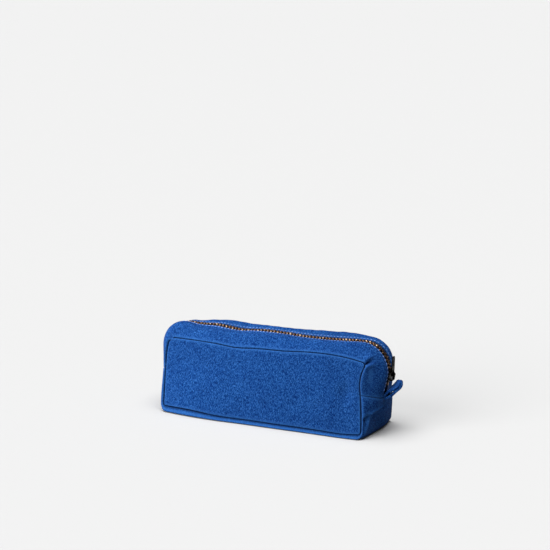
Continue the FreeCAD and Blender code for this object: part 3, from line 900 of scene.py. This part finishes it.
def make_topstitch():
    """A line of stitches on each gusset, beside the zip."""
    reach = HALF_PATH - STITCHES_FROM_SEAM
    along = np.arange(-reach, reach, STITCH_PITCH)
    for side, name, across, radius in TOPSTITCHES:
        verts, faces = stitch_mesh(STITCH_LONG, radius)
        row = np.full(len(along), across)
        here = gusset_surface(along, row, side)
        ahead = gusset_surface(along + 0.8, row, side)
        beside = gusset_surface(along, row + 0.02, side)
        t = ahead - here
        t /= np.linalg.norm(t, axis=1, keepdims=True)
        b = beside - here
        n = np.cross(t, b) * (-side)
        n /= np.linalg.norm(n, axis=1, keepdims=True)
        n *= np.sign((n * -inward_at(here)).sum(1, keepdims=True))
        b = np.cross(n, t)
        places = [lambda p, h=h, t_=t_, b_=b_, n_=n_: h + p[:, :1] * t_ + p[:, 1:2] * b_ + p[:, 2:] * n_
                  for h, t_, b_, n_ in zip(here, t, b, n)]
        v, f = copies(verts, faces, places)
        piece = mesh_object(name, v, f)
        finish_piece(piece, "thread", "case", "canvas")


# ------------------------------------------------------------ the end loop
LOOP_LIFT = math.radians(47)
LOOP_TWIST = math.radians(32)


def loop_line():
    """Middle of the folded band, from its upper root round the tip to its lower root."""
    upper = [(-1.6, 0.9), (2.0, 1.7), (6.0, 2.3), (10.0, 1.7), (14.0, 1.15), (18.4, 1.15)]
    t = np.linspace(0, 1, 40)
    x = smooth([(i / 5, p[0]) for i, p in enumerate(upper)], t)
    z = smooth([(i / 5, p[1]) for i, p in enumerate(upper)], t)
    angle = np.linspace(math.pi / 2, -math.pi / 2, 12)[1:-1]
    tip_x, tip_z = 18.4 + 1.25 * np.cos(angle), 1.15 * np.sin(angle)
    lx, lz = x[::-1], -z[::-1] * 0.92
    return np.concatenate([x, tip_x, lx]), np.concatenate([z, tip_z, lz])


def twist_loop(verts, c, d):
    """Turns the band about its own length, more towards the tip, so that its top faces forward."""
    root = np.array(LOOP_PIVOT)
    along = (verts - root) @ np.array([c, 0, d])
    above = (verts - root) @ np.array([-d, 0, c])
    across = verts[:, 1]
    turn = LOOP_TWIST * np.clip(along / 16, 0, 1) ** 1.3
    across = across * np.sqrt(1 - 0.85 * np.clip((along - 13.5) / 6.2, 0, 1) ** 2)
    new_across = across * np.cos(turn) - above * np.sin(turn)
    new_above = above * np.cos(turn) + across * np.sin(turn)
    return root + np.stack([along * c - new_above * d, new_across, along * d + new_above * c], -1)


def make_loop():
    x, z = loop_line()
    dx, dz = np.gradient(x), np.gradient(z)
    size = np.hypot(dx, dz)
    nx, nz = -dz / size, dx / size
    c, d = math.cos(LOOP_LIFT), math.sin(LOOP_LIFT)
    line = np.stack([LOOP_PIVOT.x + x * c - z * d, 0 * x, LOOP_PIVOT.z + x * d + z * c], -1)
    normals = np.stack([nx * c - nz * d, 0 * x, nx * d + nz * c], -1)
    half, thick, lip = 6.0, 1.15, 0.7
    side = [(half - lip, thick), (half - 0.15, thick * 0.75), (half, 0.0), (half - 0.15, -thick * 0.75),
            (half - lip, -thick)]
    middle = [4.6, 2.4, 0.0, -2.4, -4.6]
    section = side + [(y, -thick * 1.05) for y in middle]
    section += [(-y, r) for y, r in side[::-1]] + [(y, thick * 1.05) for y in middle[::-1]]
    verts, faces = sweep(line, normals, section)
    verts = twist_loop(verts, c, d)
    run = np.concatenate([[0], np.cumsum(size[1:])])
    uvs = np.array([(y, r + 7) for r in run for y, _ in section])
    count = len(verts)
    values = {"lip": np.zeros(count), "deep": np.zeros(count)}
    piece = mesh_object("canvas_end_loop", verts, faces, values, uvs)
    soften = piece.modifiers.new("soften", "SUBSURF")
    soften.levels = soften.render_levels = 1
    apply_modifiers(piece)
    piece.data.materials.clear()
    piece.data.materials.append(MATERIALS["canvas"])
    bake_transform(piece)
    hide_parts("end_loop")


# ------------------------------------------------------------ CAD nodes that stay
# CAD node, material, body, slot, and the width in mm that its edges are rounded over
METAL_PIECES = (
    ("top_stop_front", "teeth", "case", "zip_teeth", 0.28),
    ("top_stop_back", "teeth", "case", "zip_teeth", 0.28),
    ("bottom_stop", "teeth", "case", "zip_teeth", 0.3),
    ("slider_body", "slider", "slider", "slider_metal", 0.22),
    ("slider_cap", "slider", "slider", "slider_metal", 0.25),
    ("slider_pull", "slider", "pull", "slider_metal", 0.25),
    ("slider_lock", "steel", "slider", "spring_steel", 0.08),
)


def soften_metal():
    """Die-cast metal with its edges rounded over, in place of the CAD's sharp ones."""
    for name, material, body, slot, edge in METAL_PIECES:
        mesh = frame["nodes"][name].data.copy()
        work = bmesh.new()
        work.from_mesh(mesh)
        bmesh.ops.remove_doubles(work, verts=work.verts, dist=1e-6)
        bmesh.ops.dissolve_limit(work, angle_limit=math.radians(1), verts=work.verts, edges=work.edges)
        work.to_mesh(mesh)
        work.free()
        piece = bpy.data.objects.new("rounded_" + name, mesh)
        bpy.context.scene.collection.objects.link(piece)
        bevel = piece.modifiers.new("edges", "BEVEL")
        bevel.width = edge * MM
        bevel.segments = 3
        bevel.limit_method = "ANGLE"
        bevel.angle_limit = math.radians(35)
        apply_modifiers(piece)
        piece.data.shade_smooth()
        finish_piece(piece, material, body, slot, [name])


def dress_cad_nodes():
    for name in ("front_seam_binding", "back_seam_binding", "right_end_binding", "left_end_binding"):
        node = frame["nodes"][name]
        node.data.materials.clear()
        node.data.materials.append(MATERIALS["binding"])


# ------------------------------------------------------------ stage, light and camera
FLOOR_GREY = 0.378          # the lights bring this up to a pale floor


def make_stage():
    size = 20.0
    mesh = bpy.data.meshes.new("floor")
    mesh.from_pydata([(-size, -size, 0), (size, -size, 0), (size, size, 0), (-size, size, 0)], [],
                     [(0, 1, 2, 3)])
    floor = bpy.data.objects.new("floor", mesh)
    bpy.context.scene.collection.objects.link(floor)
    material, tree, shader = nodes_of("pale_floor")
    shader.inputs["Base Color"].default_value = (FLOOR_GREY, FLOOR_GREY, FLOOR_GREY, 1)
    shader.inputs["Roughness"].default_value = 0.9
    shader.inputs["Specular IOR Level"].default_value = 0.1
    floor.data.materials.append(material)
    floor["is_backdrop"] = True


def sun(name, from_left, lift, spread, power):
    """A distant soft light; from_left is the angle from the front towards the left."""
    data = bpy.data.lights.new(name, "SUN")
    data.energy = power
    data.angle = math.radians(spread)
    lamp = bpy.data.objects.new(name, data)
    bpy.context.scene.collection.objects.link(lamp)
    turn, up = math.radians(from_left), math.radians(lift)
    towards = Vector((-math.sin(turn) * math.cos(up), -math.cos(turn) * math.cos(up), math.sin(up)))
    lamp.rotation_euler = towards.to_track_quat("Z", "Y").to_euler()


def near_light(place, size, power):
    """A soft box near the left front corner, that lights the case and not the floor.

    The case darkens away from it, towards the right.
    """
    data = bpy.data.lights.new("soft_box", "AREA")
    data.energy = power
    data.size = size * MM
    lamp = bpy.data.objects.new("soft_box", data)
    bpy.context.scene.collection.objects.link(lamp)
    lamp.location = place * MM
    lamp.rotation_euler = (place - Vector((0, 0, 40))).to_track_quat("Z", "Y").to_euler()
    unlit = bpy.data.collections.new("shaded_from_soft_box")
    unlit.objects.link(bpy.data.objects["floor"])
    lamp.light_linking.receiver_collection = unlit
    unlit.collection_objects[0].light_linking.link_state = "EXCLUDE"


def make_light():
    world = bpy.data.worlds.new("studio")
    bpy.context.scene.world = world
    world.use_nodes = True
    background = world.node_tree.nodes["Background"]
    background.inputs["Color"].default_value = (1, 1, 1, 1)
    background.inputs["Strength"].default_value = 0.10
    sun("key", 25, 24, 44, 3.2)
    sun("overhead", 30, 84, 60, 5.87)
    near_light(Vector((-310, -250, 170)), 240, 2.1)


CAMERA_TURN, CAMERA_LIFT, CAMERA_FAR = 26.82, 13.35, 2.0
CAMERA_AIM = Vector((-1.5, 0, 133.1)) * MM
LENS = 144.4


def make_camera():
    data = bpy.data.cameras.new("camera")
    data.sensor_width = 36
    data.lens = LENS
    camera = bpy.data.objects.new("camera", data)
    bpy.context.scene.collection.objects.link(camera)
    turn, lift = math.radians(CAMERA_TURN), math.radians(CAMERA_LIFT)
    back = Vector((math.sin(turn) * math.cos(lift), -math.cos(turn) * math.cos(lift), math.sin(lift)))
    camera.location = CAMERA_AIM + back * CAMERA_FAR
    camera.rotation_mode = "QUATERNION"
    camera.rotation_quaternion = (-back).to_track_quat("-Z", "Y")
    bpy.context.scene.camera = camera
    bpy.context.scene.view_settings.view_transform = "Standard"


make_camera()
make_stage()
make_light()
make_panels()
make_gussets()
make_bottom()
make_tapes()
make_teeth()
make_topstitch()
make_loop()
soften_metal()
dress_cad_nodes()

[[list(corner) for corner in box] for box in (CAD_BOX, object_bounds())]
